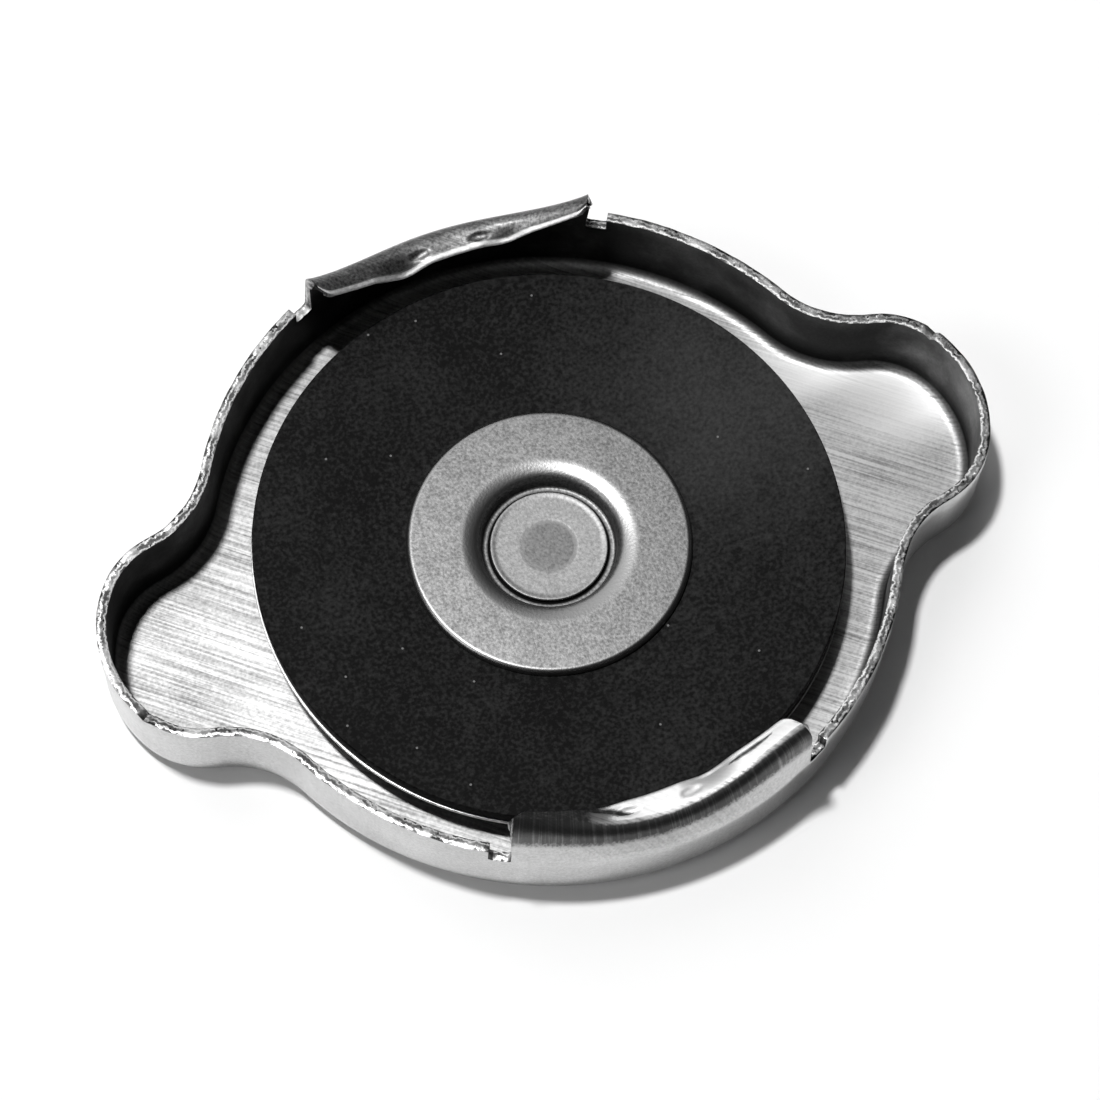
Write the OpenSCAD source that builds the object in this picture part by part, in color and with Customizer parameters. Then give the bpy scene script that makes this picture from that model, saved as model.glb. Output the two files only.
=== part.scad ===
// Bayonet filler cap of pressed sheet steel, lying on its crown with the inside up.
// The origin is the centre of the crown's outer face. X runs from ear to ear, Z points out of the open side.

/* [Shell] */
// Outside diameter of the round body
body_d = 64; // [60:0.5:70]
// Distance from ear tip to ear tip
ear_span = 84; // [80:0.5:92]
// Radius of the arc across an ear's tip
ear_tip_r = 12; // [11:0.25:14]
// Radius of an ear's two corners
ear_corner_r = 8.4; // [6.5:0.1:8.8]
// Distance of a corner's centre from the ear's middle line
ear_corner_y = 1.8; // [0.8:0.1:2.1]
// Radius of the hollow blend between an ear and the body
ear_fillet_r = 9.5; // [7:0.5:14]
// Height of the rim above the crown's outer face
skirt_h = 9.4; // [8:0.1:11]
// Thickness of the sheet
sheet_t = 0.9; // [0.7:0.05:1.1]
// Outside radius of the bend between crown and skirt
crown_bend_r = 2; // [1.5:0.1:3]
// Depth of the burr nick in the rim at one corner of each ear
nick_depth = 0.5; // [0.2:0.1:1]
// Place of the nick round its ear corner, in degrees from the ear's middle line
nick_angle = 34; // [25:1:45]

/* [Bayonet lugs] */
// Angle that one lug takes of the body's circle
lug_arc = 52; // [44:1:58]
// Height of a lug's top above the rim in the lug's middle
lug_mid_rise = 1.9; // [1.6:0.1:3]
// Height of a lug's top above the rim at the lug's two ends
lug_end_rise = 4.7; // [3:0.1:5.5]
// Inward lean of a lug's wall in the lug's middle, in degrees
lug_mid_lean = 26; // [15:1:28]
// Inward lean of a lug's wall at the lug's two ends, in degrees
lug_end_lean = 5; // [0:1:8]
// Clear diameter between the two lugs at the middle of their inner edges
lug_mid_gap_d = 55.2; // [54.6:0.1:55.8]
// Clear diameter between the two lugs at the ends of their inner edges
lug_end_gap_d = 57.8; // [56.5:0.1:58.4]
// Further reach of the inner edge at the deep dent's end, and shorter reach at the other
lug_skew = 0.35; // [0:0.05:0.5]
// Drop of the flange from its bend to its inner edge in the lug's middle
lug_mid_droop = 0.6; // [0.2:0.1:0.9]
// Drop of the flange from its bend to its inner edge at the lug's two ends
lug_end_droop = 0.3; // [0:0.1:0.8]
// Outside radius of the bend between a lug's wall and its flange
lug_bend_r = 2; // [1.4:0.1:2.1]
// Radius of the flange's free corners
lug_corner_r = 1.2; // [0.4:0.1:1.6]
// Width of the relief slit at each end of a lug
slit_w = 1.9; // [1.2:0.1:2.4]
// Depth of the relief slits below the rim
slit_depth = 1.6; // [1:0.1:2.2]
// Depth of the deep dent at the flange's inner edge
deep_dent = 1; // [0.4:0.1:1.4]
// Place of the deep dent, in degrees from the lug's middle
deep_dent_angle = 9.5; // [8:0.5:14]
// Half of the deep dent's width, in degrees
deep_dent_half = 6.5; // [4:0.5:9]
// Depth of the shallow dent at the flange's inner edge
shallow_dent = 0.55; // [0.3:0.05:1.2]
// Place of the shallow dent, in degrees from the lug's middle
shallow_dent_angle = -11; // [-15:0.5:-8]
// Half of the shallow dent's width, in degrees
shallow_dent_half = 5.5; // [4:0.5:8]

/* [Crown centre] */
// Diameter of the flat floor of the pressed recess round the rivet
recess_d = 14; // [12:0.5:16]
// Depth of that recess in the crown's outer face
recess_depth = 0.8; // [0.7:0.05:1]

/* [Rivet] */
// Diameter of the shank
shank_d = 5; // [4:0.1:5.6]
// Diameter of the flat head inside the cap
head_d = 10.8; // [9:0.1:11.4]
// Thickness of that head
head_t = 0.45; // [0.35:0.05:1.1]
// Chamfer round that head
head_chamfer = 0.15; // [0.05:0.05:0.3]
// Diameter of the shallow punch mark in the head
mark_d = 5; // [3:0.1:6]
// Depth of the punch mark
mark_depth = 0.1; // [0.05:0.05:0.2]
// Diameter of the closed head in the crown's recess
closed_d = 9; // [7.5:0.1:11]
// Thickness of the closed head
closed_t = 0.65; // [0.4:0.05:0.7]

/* [Seal] */
// Diameter of the dished spring disc
disc_d = 54.4; // [48:0.1:54.6]
// Thickness of the spring disc
disc_t = 0.45; // [0.3:0.05:0.7]
// Diameter of the disc's flat centre
disc_flat_d = 16; // [15:0.1:20]
// Rise of the disc's outer edge above its centre
disc_rise = 1.9; // [1:0.1:2.2]
// Width of the disc's edge that shows past the rubber gasket
gasket_inset = 0.15; // [0.1:0.05:0.6]
// Thickness of the gasket at its outer edge
gasket_t = 1.55; // [1:0.05:2]
// Diameter of the retaining washer
washer_d = 26.2; // [22:0.1:32]
// Thickness of the retaining washer
washer_t = 0.8; // [0.6:0.05:1]
// Depth of the washer's dish from its flange to its floor
dish_depth = 1.9; // [1.85:0.05:2.4]
// Diameter at which the washer's flange starts to bend into the dish
dish_mouth_d = 15.4; // [15:0.1:16.6]
// Radius of the dish's rounded shoulder
dish_shoulder_r = 1.5; // [1.1:0.05:1.55]
// Radius inside the foot of the dish's wall
dish_foot_r = 0.3; // [0.2:0.05:0.35]

/* [Fits] */
// Gap between the shank and the holes that turn on it
shank_play = 0.06; // [0.03:0.01:0.1]
// Gap between the shank and its hole in the crown
crown_hole_play = 0.03; // [0.02:0.01:0.06]
// Gap under the rivet's head that lets the seal turn
head_play = 0.05; // [0.03:0.01:0.15]
// Gap between the start of the washer's bend and the gasket's hole
gasket_hole_play = 0.1; // [0.05:0.05:0.6]
// Width by which the gasket's clamped flat reaches past the washer
clamp_margin = 0.4; // [0.2:0.1:1]

/* [Hidden] */
$fa = 3;
$fs = 0.3;

// Overlap that joins two stretches of one sheet
join_lap = 0.5;
// Reach of a cutting shape past the sheet that it cuts
cut_over = 1;
// Wedge by which a lug's root is let into the skirt's wall
root_h = 0.8;
root_taper = 0.2;
// Set-back of that root from the faces of the wall, which are flat between stations
root_inset = 0.03;
// Share of a dent's depth halfway across the flange
middle_share = 0.4;
// Flange that a lug's rounded corners leave, and the power by which its ends rise
least_flange = 0.2;
end_power = 2.5;

// Outline of the shell: where its arcs have their centres and where they meet
body_r = body_d / 2;
tip_c = [ear_span / 2 - ear_tip_r, 0];
corner_x = tip_c.x + sqrt(pow(ear_tip_r - ear_corner_r, 2) - pow(ear_corner_y, 2));
corner_c = [corner_x, ear_corner_y];
fillet_c = circles_meet(corner_c, body_r + ear_fillet_r, ear_corner_r + ear_fillet_r);
tip_angle = atan2(corner_c.y, corner_c.x - tip_c.x);
corner_angle = atan2(fillet_c.y - corner_c.y, fillet_c.x - corner_c.x);
body_angle = atan2(fillet_c.y, fillet_c.x);

// Steps along the arcs of a quarter of the outline, along a bend and along a lug
tip_steps = 4;
corner_steps = 9;
fillet_steps = 9;
body_steps = 20;
bend_steps = 6;
lug_steps = 36;

// A quarter of the outline from an ear's tip to the body's side, then half of it, then the whole round
quarter = concat(
    arc_stations(tip_c, ear_tip_r, 0, tip_angle, tip_steps, 0),
    arc_stations(corner_c, ear_corner_r, tip_angle, corner_angle, corner_steps, 0),
    arc_stations(fillet_c, ear_fillet_r, 180 + corner_angle, 180 + body_angle, fillet_steps, 180),
    arc_stations([0, 0], body_r, body_angle, 90, body_steps, 0)
);
half = concat(
    quarter,
    [[0, body_r, 90]],
    [for (i = [len(quarter) - 1 : -1 : 1]) mirrored(quarter[i])]
);
outline = concat(half, [for (s = half) [-s.x, -s.y, s.z + 180]]);

// Section of crown edge, bend and skirt, with the outer face at x = 0 and the inside at negative x
skirt_section = concat(
    [[-crown_bend_r - join_lap, 0]],
    [for (i = [0 : bend_steps]) bend_point(crown_bend_r, i)],
    [[0, skirt_h], [-sheet_t, skirt_h]],
    [for (i = [bend_steps : -1 : 0]) bend_point(crown_bend_r - sheet_t, i)],
    [[-crown_bend_r - join_lap, sheet_t]]
);

// Lugs: height of their base, and the angle of a relief slit
lug_base_z = skirt_h - slit_depth;
slit_angle = 2 * asin(slit_w / 2 / body_r);

// Heights of the stack on the rivet, from the crown's raised centre up
recess_r = recess_d / 2;
recess_mouth_r = recess_r + recess_depth;
bend_shift = sheet_t * tan(45 / 2);
seat_z = recess_depth + sheet_t;
disc_top_z = seat_z + disc_t;
dish_floor_z = disc_top_z + washer_t;
flange_under_z = disc_top_z + dish_depth;
flange_top_z = flange_under_z + washer_t;
head_z = dish_floor_z + head_play;
turning_hole_r = shank_d / 2 + shank_play;
crown_hole_r = shank_d / 2 + crown_hole_play;
disc_slope = disc_rise / (disc_d / 2 - disc_flat_d / 2);
dish_wall_r = dish_mouth_d / 2 - dish_shoulder_r;
gasket_hole_r = dish_mouth_d / 2 + gasket_hole_play;
clamp_r = washer_d / 2 + clamp_margin;

// Point at distance d1 from the origin and d2 from c, on the left of the line to c
function circles_meet(c, d1, d2) =
    let (d = norm(c))
    let (along = (d * d + d1 * d1 - d2 * d2) / (2 * d))
    let (aside = sqrt(d1 * d1 - along * along))
    [c.x * along - c.y * aside, c.y * along + c.x * aside] / d;

// Point at radius r and angle a
function polar(r, a) = [r * cos(a), r * sin(a)];

// Height of the spring disc's upper face at radius r
function disc_face_z(r) = disc_top_z + max(0, r - disc_flat_d / 2) * disc_slope;

// Stations along an arc, each a point and the heading of the outward normal there, without the last
function arc_stations(c, r, from, to, steps, turn) = [
    for (i = [0 : steps - 1])
        let (a = from + (to - from) * i / steps)
        [c.x + r * cos(a), c.y + r * sin(a), a + turn]
];

// The same station on the other side of the cap's middle
function mirrored(s) = [-s.x, s.y, 180 - s.z];

// Point on the bend between crown and skirt, at radius r
function bend_point(r, i) =
    let (a = 90 * i / bend_steps)
    [-crown_bend_r + r * sin(a), crown_bend_r - r * cos(a)];

// Outline moved inwards by inset
function inset_outline(inset) = [for (s = outline) [s.x, s.y] - polar(inset, s.z)];

// Smooth hump of height 1 at the middle and 0 at both ends of its width
function hump(x, half_width) = abs(x) < half_width ? (1 + cos(180 * x / half_width)) / 2 : 0;

// Depth of the pressed dents at a lug's inner edge, at angle a from the lug's middle
function dent_depth(a) =
    deep_dent * hump(a - deep_dent_angle, deep_dent_half)
    + shallow_dent * hump(a - shallow_dent_angle, shallow_dent_half);

// Value that runs from a lug's middle to its ends, slowly first, with u from -1 to 1 along the lug
function along_lug(middle, end, u) = middle + (end - middle) * pow(abs(u), end_power);

// Distance by which a lug's rounded corner takes its inner edge back
function corner_relief(u) =
    let (past = (abs(u) - 1) * body_r * lug_arc / 2 * PI / 180 + lug_corner_r)
    past > 0 ? lug_corner_r - sqrt(pow(lug_corner_r, 2) - pow(past, 2)) : 0;

// Across the sheet of a lug from its root to its inner edge: pairs of an outer and an inner point
function lug_strip(u) =
    let (top = skirt_h + along_lug(lug_mid_rise, lug_end_rise, u))
    let (lean = along_lug(lug_mid_lean, lug_end_lean, u))
    let (bend_z = top - lug_bend_r)
    let (wall_run = (bend_z + lug_bend_r * sin(lean) - lug_base_z) * tan(lean))
    let (bend = [body_r - wall_run - lug_bend_r * cos(lean), bend_z])
    let (reach_r = along_lug(lug_mid_gap_d, lug_end_gap_d, u) / 2 - lug_skew * u + corner_relief(u))
    let (edge_r = min(reach_r, bend.x - least_flange))
    let (drop = dent_depth(u * lug_arc / 2) + along_lug(lug_mid_droop, lug_end_droop, u))
    let (edge = [edge_r, top - drop])
    let (middle = [(bend.x + edge_r) / 2, top - drop * middle_share])
    let (across = [0, -sheet_t])
    concat(
        [[[body_r - root_taper, lug_base_z - root_h], [body_r - sheet_t + root_taper, lug_base_z - root_h]]],
        [[[body_r - root_inset, lug_base_z], [body_r - sheet_t + root_inset, lug_base_z]]],
        [for (i = [0 : bend_steps])
            let (a = lean + (90 - lean) * i / bend_steps)
            [bend + polar(lug_bend_r, a), bend + polar(lug_bend_r - sheet_t, a)]],
        [[middle, middle + across]],
        [[edge, edge + across]]
    );

// Copies its child at both ends of the cap, half a turn apart
module both_ends() {
    for (turn = [0, 180]) {
        rotate(turn) children();
    }
}

// Quarter of a ring, turned from the first quadrant
module ring_quarter(outer_r, inner_r, turn) {
    rotate(turn) intersection() {
        difference() {
            circle(outer_r);
            circle(inner_r);
        }
        square(outer_r);
    }
}

// Skirt, bend and edge of the crown, swept once round the outline
module skirt() {
    rounds = len(outline);
    across = len(skirt_section);
    polyhedron(
        points = [
            for (s = outline)
                for (p = skirt_section)
                    [s.x + p.x * cos(s.z), s.y + p.x * sin(s.z), p.y]
        ],
        faces = [
            for (i = [0 : rounds - 1])
                for (j = [0 : across - 1])
                    let (next = (i + 1) % rounds * across, up = (j + 1) % across)
                    [i * across + j, i * across + up, next + up, next + j]
        ]
    );
}

// Flat of the crown, with room for the pressed centre
module crown_floor() {
    linear_extrude(sheet_t) difference() {
        polygon(inset_outline(crown_bend_r + join_lap / 2));
        circle(recess_mouth_r + bend_shift);
    }
}

// Pressed centre of the crown: recessed outside, raised inside, pierced for the rivet
module crown_centre() {
    rotate_extrude() polygon([
        [crown_hole_r, recess_depth],
        [recess_r, recess_depth],
        [recess_mouth_r, 0],
        [recess_mouth_r + bend_shift + join_lap, 0],
        [recess_mouth_r + bend_shift + join_lap, sheet_t],
        [recess_mouth_r + bend_shift, sheet_t],
        [recess_r + bend_shift, seat_z],
        [crown_hole_r, seat_z]
    ]);
}

// One bayonet lug, centred on the X axis: strips of sheet side by side, closed at both ends
module lug() {
    strips = [for (k = [0 : lug_steps]) lug_strip(2 * k / lug_steps - 1)];
    pairs = len(strips[0]);
    ring = 2 * pairs;
    polyhedron(
        points = [
            for (k = [0 : lug_steps])
                let (a = (k / lug_steps - 1 / 2) * lug_arc)
                for (j = [0 : ring - 1])
                    let (p = j < pairs ? strips[k][j][0] : strips[k][ring - 1 - j][1])
                    [p.x * cos(a), p.x * sin(a), p.y]
        ],
        faces = concat(
            [for (k = [0 : lug_steps - 1])
                for (j = [0 : ring - 1])
                    let (here = k * ring, next = (k + 1) * ring, up = (j + 1) % ring)
                    [here + j, here + up, next + up, next + j]],
            [for (j = [0 : pairs - 2]) [j, ring - 1 - j, ring - 2 - j, j + 1]],
            [for (j = [0 : pairs - 2])
                let (last = lug_steps * ring)
                [last + j, last + j + 1, last + ring - 2 - j, last + ring - 1 - j]]
        )
    );
}

// Rim cut away where a lug and its two relief slits are, centred on the X axis
module lug_room() {
    room_angle = lug_arc + 2 * slit_angle;
    translate([0, 0, lug_base_z]) rotate(-room_angle / 2) rotate_extrude(angle = room_angle)
        translate([body_r - sheet_t - cut_over, 0]) square([sheet_t + 2 * cut_over, slit_depth + cut_over]);
}

// Burr nick across the rim at one corner of an ear
module rim_nick() {
    translate([corner_c.x, corner_c.y, skirt_h]) rotate(nick_angle)
        translate([ear_corner_r - sheet_t / 2, 0, 0]) rotate([45, 0, 0])
            cube([4 * sheet_t, sqrt(2) * nick_depth, sqrt(2) * nick_depth], center = true);
}

// The whole cap body, pressed from one sheet
module cap_shell() {
    color([0.74, 0.74, 0.74]) union() {
        difference() {
            union() {
                skirt();
                crown_floor();
                crown_centre();
            }
            both_ends() {
                rotate(90) lug_room();
                rim_nick();
            }
        }
        both_ends() rotate(90) lug();
    }
}

// Dished disc of spring steel that carries the gasket
module spring_disc() {
    color([0.62, 0.62, 0.63]) rotate_extrude() polygon([
        [turning_hole_r, seat_z],
        [disc_flat_d / 2, seat_z],
        [disc_d / 2, seat_z + disc_rise],
        [disc_d / 2, disc_top_z + disc_rise],
        [disc_flat_d / 2, disc_top_z],
        [turning_hole_r, disc_top_z]
    ]);
}

// Rubber ring that follows the disc and lies flat under the washer
module sealing_gasket() {
    edge_r = disc_d / 2 - gasket_inset;
    color([0.09, 0.09, 0.09]) rotate_extrude() polygon([
        [gasket_hole_r, disc_face_z(gasket_hole_r)],
        [disc_flat_d / 2 + disc_t, disc_face_z(disc_flat_d / 2 + disc_t)],
        [edge_r, disc_face_z(edge_r)],
        [edge_r, disc_face_z(edge_r) + gasket_t],
        [clamp_r, flange_under_z],
        [gasket_hole_r, flange_under_z]
    ]);
}

// Dished washer that clamps the gasket's inner edge
module retaining_washer() {
    shoulder_c = [dish_mouth_d / 2, flange_top_z - dish_shoulder_r];
    foot_c = [dish_wall_r - dish_foot_r, dish_floor_z + dish_foot_r];
    color([0.6, 0.6, 0.6]) rotate_extrude() union() {
        translate([shoulder_c.x, flange_under_z]) square([washer_d / 2 - shoulder_c.x, washer_t]);
        translate(shoulder_c) ring_quarter(dish_shoulder_r, dish_shoulder_r - washer_t, 90);
        translate([dish_wall_r, foot_c.y]) square([washer_t, shoulder_c.y - foot_c.y]);
        translate(foot_c) ring_quarter(dish_foot_r + washer_t, dish_foot_r, -90);
        translate([turning_hole_r, disc_top_z]) square([foot_c.x - turning_hole_r, washer_t]);
    }
}

// Rivet with a flat head inside the cap and a closed head in the crown's recess
module centre_rivet() {
    head_r = head_d / 2;
    closed_r = closed_d / 2;
    color([0.7, 0.7, 0.7]) difference() {
        rotate_extrude() polygon([
            [0, recess_depth - closed_t],
            [closed_r - closed_t, recess_depth - closed_t],
            [closed_r, recess_depth],
            [shank_d / 2, recess_depth],
            [shank_d / 2, head_z],
            [head_r, head_z],
            [head_r, head_z + head_t - head_chamfer],
            [head_r - head_chamfer, head_z + head_t],
            [0, head_z + head_t]
        ]);
        translate([0, 0, head_z + head_t - mark_depth]) cylinder(d = mark_d, h = cut_over);
    }
}

cap_shell();
spring_disc();
sealing_gasket();
retaining_washer();
centre_rivet();
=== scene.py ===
# %% [markdown]
# # A bayonet radiator cap, inside up
# The cap is one steel pressing with a seal riveted into it: a spring disc, a rubber gasket and a dished
# washer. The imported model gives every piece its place. This lesson dresses each piece with the torn
# edges, dents and finishes that the real one shows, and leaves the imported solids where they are.

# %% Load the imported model
import math
import bpy
import numpy as np
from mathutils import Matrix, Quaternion, Vector, kdtree, noise


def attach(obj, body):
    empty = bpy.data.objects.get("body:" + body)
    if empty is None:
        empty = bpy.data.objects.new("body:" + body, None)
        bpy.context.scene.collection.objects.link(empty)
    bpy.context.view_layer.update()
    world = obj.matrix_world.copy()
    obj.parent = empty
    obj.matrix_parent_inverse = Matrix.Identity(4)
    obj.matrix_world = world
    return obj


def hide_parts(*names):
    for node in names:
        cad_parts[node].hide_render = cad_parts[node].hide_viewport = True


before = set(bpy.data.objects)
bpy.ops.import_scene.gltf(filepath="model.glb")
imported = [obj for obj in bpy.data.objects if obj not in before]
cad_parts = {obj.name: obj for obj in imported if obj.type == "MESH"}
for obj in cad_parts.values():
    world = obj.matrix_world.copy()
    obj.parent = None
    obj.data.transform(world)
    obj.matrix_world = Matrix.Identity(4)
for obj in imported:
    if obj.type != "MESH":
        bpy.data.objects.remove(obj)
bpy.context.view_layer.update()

for name in ("Cube", "Light", "Camera"):
    if name in bpy.data.objects:
        bpy.data.objects.remove(bpy.data.objects[name])

# %% [markdown]
# ## Small helpers
# Sizes are written in millimetres, as on a workshop drawing, and turned to metres once, when a mesh is
# made. Colours are written as sRGB hex, as picked from a picture, while shader sockets want linear light.
# One function adds a node, sets it and links it, for materials and for geometry alike.

# %% Helpers for colours, nodes and meshes
MM = 0.001


def linear(hex_colour):
    """sRGB hex as linear red, green, blue and alpha."""
    shares = [int(hex_colour[i:i + 2], 16) / 255 for i in (1, 3, 5)]
    return (*[s / 12.92 if s <= 0.04045 else ((s + 0.055) / 1.055) ** 2.4 for s in shares], 1.0)


def wire(tree, node, inputs):
    """Fills a node's inputs: a socket of another node is linked, anything else is set as a value."""
    for key, value in inputs.items():
        if isinstance(value, bpy.types.NodeSocket):
            tree.links.new(value, node.inputs[key])
        else:
            node.inputs[key].default_value = value


def add_node(tree, kind, inputs=None, stops=(), **settings):
    """Adds a node with its settings and inputs; a colour ramp also gets its stops, in rising order."""
    node = tree.nodes.new(kind)
    for name, value in settings.items():
        setattr(node, name, value)
    wire(tree, node, inputs or {})
    if stops:
        ramp = node.color_ramp.elements
        for stop, (position, shade) in ((ramp[0], stops[0]), (ramp[1], stops[-1])):
            stop.position, stop.color = position, linear(shade)
        for position, shade in stops[1:-1]:
            ramp.new(position).color = linear(shade)
    return node


def mesh_object(name, points_mm, faces, edges=()):
    """New object at the origin, from points in millimetres."""
    mesh = bpy.data.meshes.new(name)
    mesh.from_pydata([tuple(c * MM for c in p) for p in points_mm], list(edges), faces)
    mesh.update()
    made = bpy.data.objects.new(name, mesh)
    bpy.context.scene.collection.objects.link(made)
    return made


def bake(made, sharp_degrees):
    """Turns an object with modifiers into a plain mesh with smooth faces and sharp edges."""
    bpy.context.view_layer.update()
    seen = made.evaluated_get(bpy.context.evaluated_depsgraph_get())
    plain = bpy.data.meshes.new_from_object(seen)
    made.modifiers.clear()
    made.data = plain
    plain.polygons.foreach_set("use_smooth", [True] * len(plain.polygons))
    plain.set_sharp_from_angle(angle=math.radians(sharp_degrees))
    print(made.name, "has", sum(len(p.vertices) - 2 for p in plain.polygons), "triangles")


# %% [markdown]
# ## Outline of the shell
# Seen from above, the pressing is a round body with a grip ear at each end. Its outline is made of arcs
# that touch without a corner: an arc over the ear's tip, a tighter one round each ear corner, a hollow
# blend, and the round body. Each station along it keeps the direction that points out of the shell, so
# a section can be stood up there later. One quarter is worked out, and the rest is mirrored and turned.

# %% Arcs of the outline
BODY_R, EAR_SPAN, TIP_R = 32.0, 84.0, 12.0
CORNER_R, CORNER_Y, BLEND_R = 8.4, 1.8, 9.5
STEP = 0.45


def level_ray(heading):
    """Level direction of length 1 at a heading in degrees."""
    return Vector((math.cos(math.radians(heading)), math.sin(math.radians(heading)), 0))


def arc(centre, radius, start, end, turn=0.0, step=STEP):
    """Stations (x, y, heading) along an arc, all but its last; turn is added to each heading."""
    count = max(2, round(math.radians(abs(end - start)) * radius / step))
    headings = start + (end - start) * np.arange(count) / count
    return [
        (
            centre[0] + radius * math.cos(math.radians(h)),
            centre[1] + radius * math.sin(math.radians(h)),
            h + turn,
        )
        for h in headings
    ]


tip_c = (EAR_SPAN / 2 - TIP_R, 0.0)
corner_c = (tip_c[0] + math.sqrt((TIP_R - CORNER_R) ** 2 - CORNER_Y ** 2), CORNER_Y)
reach = math.hypot(*corner_c)
along = (reach ** 2 + (BODY_R + BLEND_R) ** 2 - (CORNER_R + BLEND_R) ** 2) / (2 * reach)
aside = math.sqrt((BODY_R + BLEND_R) ** 2 - along ** 2)
blend_c = (
    (corner_c[0] * along - corner_c[1] * aside) / reach,
    (corner_c[1] * along + corner_c[0] * aside) / reach,
)
print("centres of tip, corner and blend:", [[round(c, 2) for c in m] for m in (tip_c, corner_c, blend_c)])

# %% Stations along the outline
LUG_HALF, SLIT = 26.0, 3.4  # degrees round the axis
SLIT_STEP, LUG_STEP = 0.3, 0.25
tip_end = math.degrees(math.atan2(CORNER_Y, corner_c[0] - tip_c[0]))
corner_end = math.degrees(math.atan2(blend_c[1] - corner_c[1], blend_c[0] - corner_c[0]))
body_start = math.degrees(math.atan2(blend_c[1], blend_c[0]))
lug_start = 90 - LUG_HALF
quarter = (
    arc(tip_c, TIP_R, 0, tip_end)
    + arc(corner_c, CORNER_R, tip_end, corner_end)
    + arc(blend_c, BLEND_R, 180 + corner_end, 180 + body_start, turn=180)
    + arc((0, 0), BODY_R, body_start, lug_start - SLIT)
    + arc((0, 0), BODY_R, lug_start - SLIT, lug_start, step=SLIT_STEP)
    + arc((0, 0), BODY_R, lug_start, 90, step=LUG_STEP)
)
half = quarter + [(0.0, BODY_R, 90.0)] + [(-x, y, 180 - h) for x, y, h in reversed(quarter[1:])]
outline = half + [(-x, -y, h + 180) for x, y, h in half]
print("outline:", len(outline), "stations, ears", EAR_SPAN, "mm from tip to tip")

# %% [markdown]
# ## The sheet
# A pressing is one sheet, so it is made as one: an open surface that is the outside of the cap, with
# rows that run from the rivet hole over the crown, round the bend and up the skirt. Above the foot of the
# slits a column belongs either to the plain rim or to a lug, and no faces are laid across the slits.
# A cube with loops cut into it could be pulled to this shape by hand, but rows worked out from sizes
# keep the sheet even, and each size can be changed on its own.

# %% Rows of the sheet from the centre to the foot of the slits
SHEET_T, CROWN_BEND_R, SLIT_FOOT = 0.9, 2.0, 7.8
CENTRE_ROWS = [  # radius and height
    (2.53, 0.8), (4.8, 0.8), (6.6, 0.8), (7.0, 0.76),
    (7.25, 0.56), (7.55, 0.26), (7.82, 0.04), (8.3, 0.0),
]
FLOOR_SHARES = [0.2, 0.4, 0.6, 0.75, 0.88, 0.96]
BEND_STEPS, SKIRT_STEPS = 9, 9
RIPPLE, RIPPLE_SIZE = 0.04, 7.0


def wander(place, size_mm, seed):
    """Smooth noise from -1 to 1 that changes over about size_mm."""
    return noise.noise(Vector(place) / size_mm + Vector((seed * 17.3, seed * 5.1, seed * 9.7)))


def lower_rows(x, y, heading):
    """Rows from the rivet hole to the foot of the slits, at one station of the outline."""
    out = level_ray(heading)
    edge = Vector((x, y, 0))
    rows = [edge.normalized() * r + Vector((0, 0, z)) for r, z in CENTRE_ROWS]
    floor_start, floor_end = rows[-1], edge - out * CROWN_BEND_R
    rows += [floor_start.lerp(floor_end, share) for share in FLOOR_SHARES]
    for i in range(BEND_STEPS + 1):
        a = math.radians(90 * i / BEND_STEPS)
        inward = CROWN_BEND_R * (1 - math.sin(a))
        rows.append(edge - out * inward + Vector((0, 0, CROWN_BEND_R * (1 - math.cos(a)))))
    for i in range(1, SKIRT_STEPS + 1):
        z = CROWN_BEND_R + (SLIT_FOOT - CROWN_BEND_R) * i / SKIRT_STEPS
        waves = 1 + wander((x, y, z), RIPPLE_SIZE, seed=1)
        ripple = RIPPLE * waves * math.sin(math.pi * i / SKIRT_STEPS) ** 2
        rows.append(edge - out * ripple + Vector((0, 0, z)))
    return rows


print("rows below the slits:", len(lower_rows(*outline[0])))

# %% Painted light on the floor
PAINTED_LIGHT_ROWS = {-3: 0.1, -2: 0.6, -1: 1.0, 0: 0.9, 1: 0.5, 2: 0.2}  # counted from the foot of the bend
PAINTED_LIGHT_X, PAINTED_LIGHT_Y = (26, 6), (-2, 5)  # where it starts, and the width over which it grows


def climb(value, start, width):
    """0 up to start, then rising to 1 over the width."""
    return min(1.0, max(0.0, (value - start) / width))


def floor_painted_light(row, x, y):
    """Painted light on a row, 0 to 1: a pool of light painted on the flat beside the bend, on the far side of
    one ear.
    """
    past = row - len(CENTRE_ROWS) - len(FLOOR_SHARES)
    return PAINTED_LIGHT_ROWS.get(past, 0.0) * climb(x, *PAINTED_LIGHT_X) * climb(y, *PAINTED_LIGHT_Y)


print("polished rows:", len(PAINTED_LIGHT_ROWS))

# %% [markdown]
# ## Rim and lugs
# The rim was sheared, so its height wanders a little, and each ear has a nick. A lug's wall leans in,
# bends over and ends in a flange with a deep dent, a shallow dent and two punch marks. The lug has more
# to tell than the rim, but both get the same number of rows, so that every column of the sheet is alike.

# %% Rows of the rim
RIM_H = 9.4
WALL_ROWS, FOLD_ROWS, FLANGE_ROWS, ROLL_ROWS = 6, 8, 11, 3
UPPER_ROWS = WALL_ROWS + FOLD_ROWS + FLANGE_ROWS + ROLL_ROWS
RIM_WAVES = ((0.10, 3.2, 2), (0.07, 0.9, 3))  # height and size in mm, seed
NICK_AT, NICK_HALF, NICK_DEPTH = 34.0, 4.5, 0.55  # degrees round the ear's corner, then mm
SET_IN, SET_IN_SIZE = 0.05, 2.0


def hump(x, half_width):
    """1 in the middle, falling smoothly to 0 at half_width on both sides."""
    return (1 + math.cos(math.pi * x / half_width)) / 2 if abs(x) < half_width else 0.0


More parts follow.
